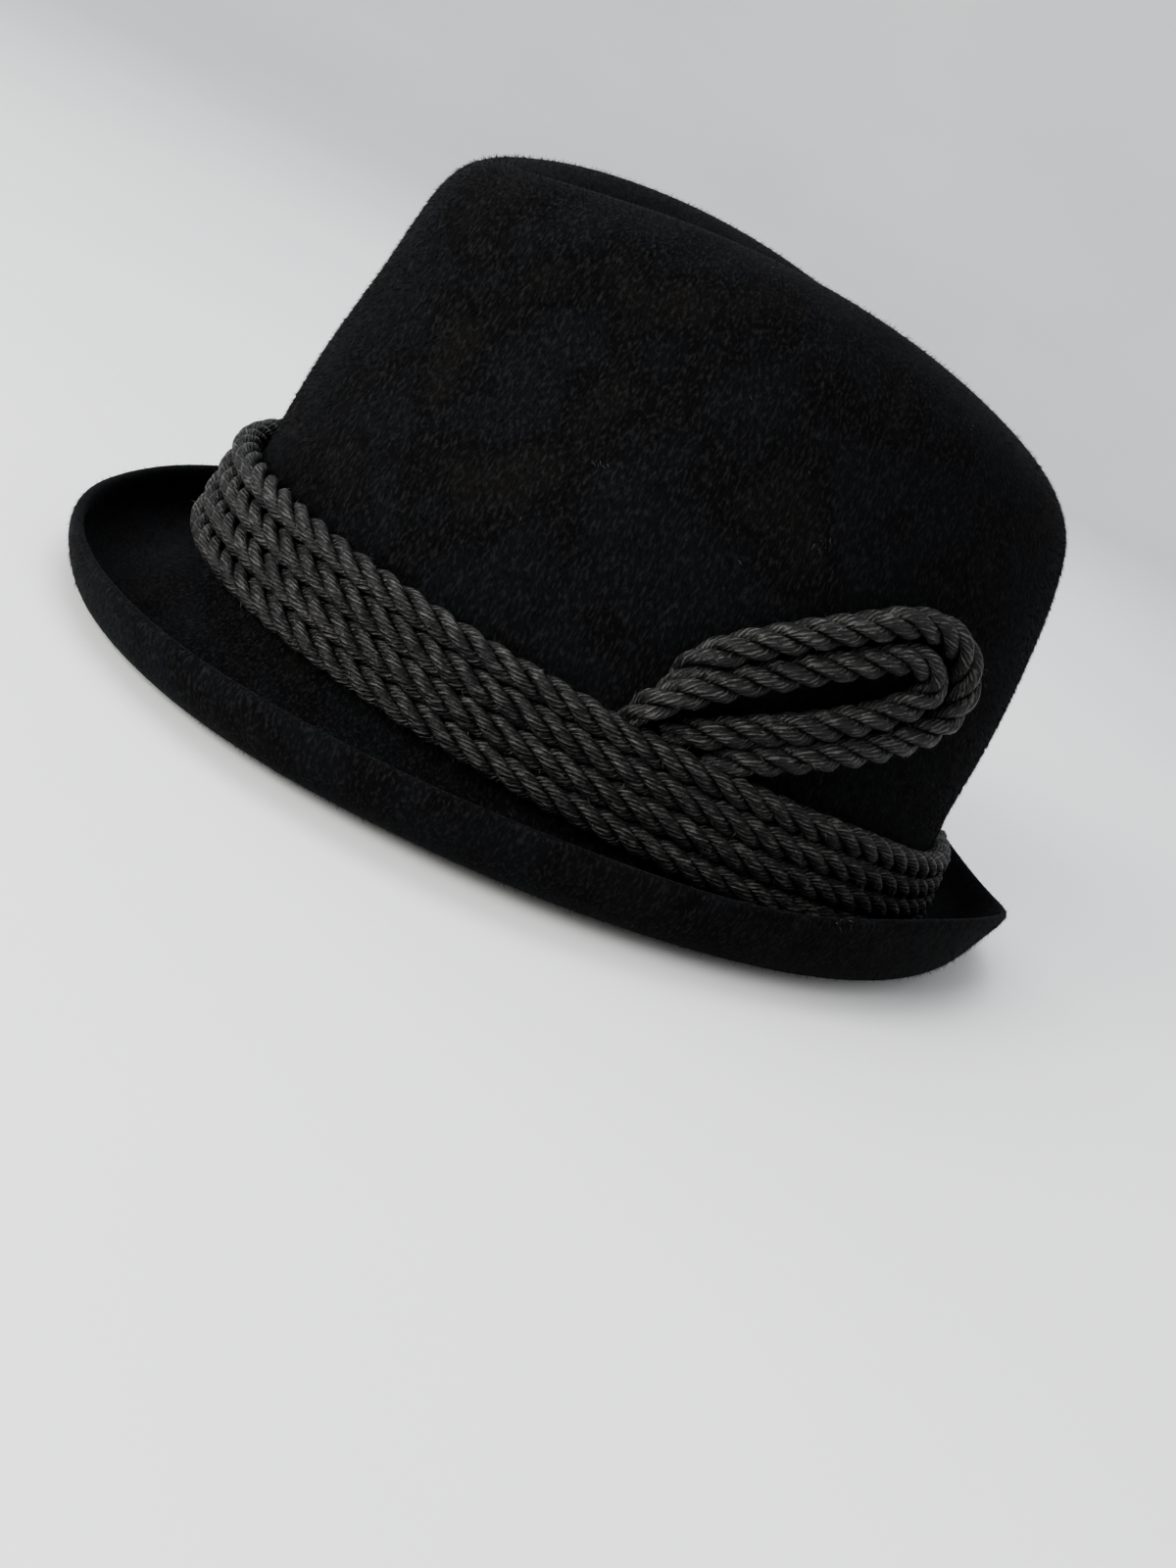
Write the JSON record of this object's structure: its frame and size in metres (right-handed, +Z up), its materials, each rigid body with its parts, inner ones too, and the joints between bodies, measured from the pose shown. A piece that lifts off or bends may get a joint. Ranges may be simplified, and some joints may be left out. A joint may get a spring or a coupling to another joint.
{
  "type": "fedora",
  "caption": "Black velour felt fedora: soft crown with a lengthwise crease, narrow brim curled up all round, a wide band of twisted rope and a rope loop on the wearer's left.",
  "frame": {"origin": "middle of the hat's bounding box, on the surface that the brim rests on", "axes": "+Y toward the back of the hat, +X toward the wearer's left, +Z up"},
  "size_m": [0.2342, 0.2761, 0.146],
  "materials": {
    "felt": "black velour felt with a long soft nap, matte with a faint sheen",
    "rope": "charcoal twisted cord of fine yarns with a soft satin sheen"
  },
  "bodies": {
    "root": {"felt_body": "felt", "rope_row_1": "rope", "rope_row_2": "rope", "rope_row_3": "rope", "rope_row_4": "rope", "loop_outer": "rope", "loop_inner": "rope"}
  },
  "joints": []
}
